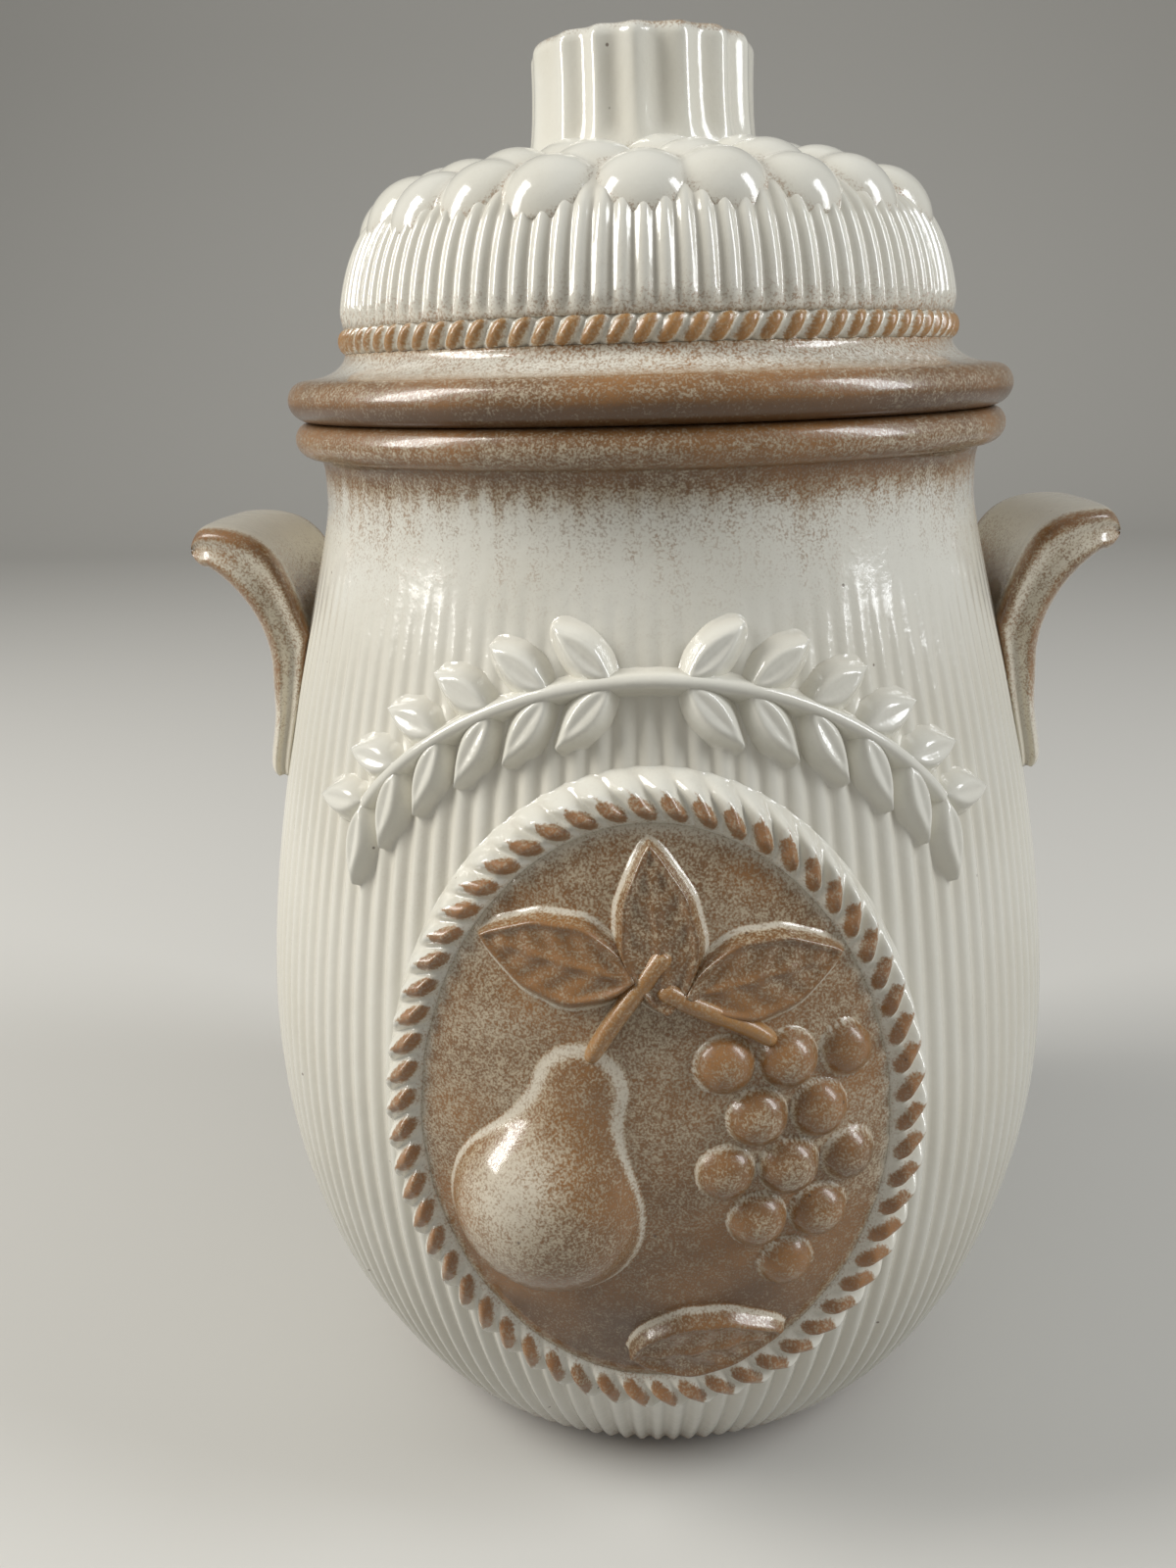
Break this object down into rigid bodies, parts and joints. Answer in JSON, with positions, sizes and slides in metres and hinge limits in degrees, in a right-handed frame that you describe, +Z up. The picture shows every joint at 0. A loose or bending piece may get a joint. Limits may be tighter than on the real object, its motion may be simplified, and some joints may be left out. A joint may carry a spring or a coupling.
{
  "type": "lidded fruit crock",
  "caption": "Lidded stoneware fruit crock with a ribbed belly, two lug handles, an oval medallion in a rope border, a leaf garland and a fluted knob on the lid.",
  "frame": {"origin": "centre of the foot on the table, on the pot's axis", "axes": "+Z up along the pot's axis, -Y towards the medallion's side, +X towards the right handle"},
  "size_m": [0.233, 0.2159, 0.329],
  "materials": {
    "cream_glaze": "glossy warm white glaze with fine specks",
    "brown_glaze": "satin brown speckled glaze",
    "tan_glaze": "satin tan glaze, brown on the edges"
  },
  "bodies": {
    "pot": {"pot_body": "cream_glaze", "handle_left": "tan_glaze", "handle_right": "tan_glaze", "medallion_plaque": "brown_glaze", "medallion_rope": "cream_glaze", "pear": "tan_glaze", "grape_bunch": "brown_glaze", "fruit_leaves": "brown_glaze", "leaf_garland": "cream_glaze"},
    "lid": {"lid_shell": "cream_glaze", "lid_rope_band": "cream_glaze", "lid_berries": "cream_glaze", "lid_knob": "cream_glaze"}
  },
  "joints": [
    {"name": "lid_lift", "type": "slide", "parent": "pot", "child": "lid", "axis": [0, 0, 1], "range_m": [0, 0.12]}
  ]
}
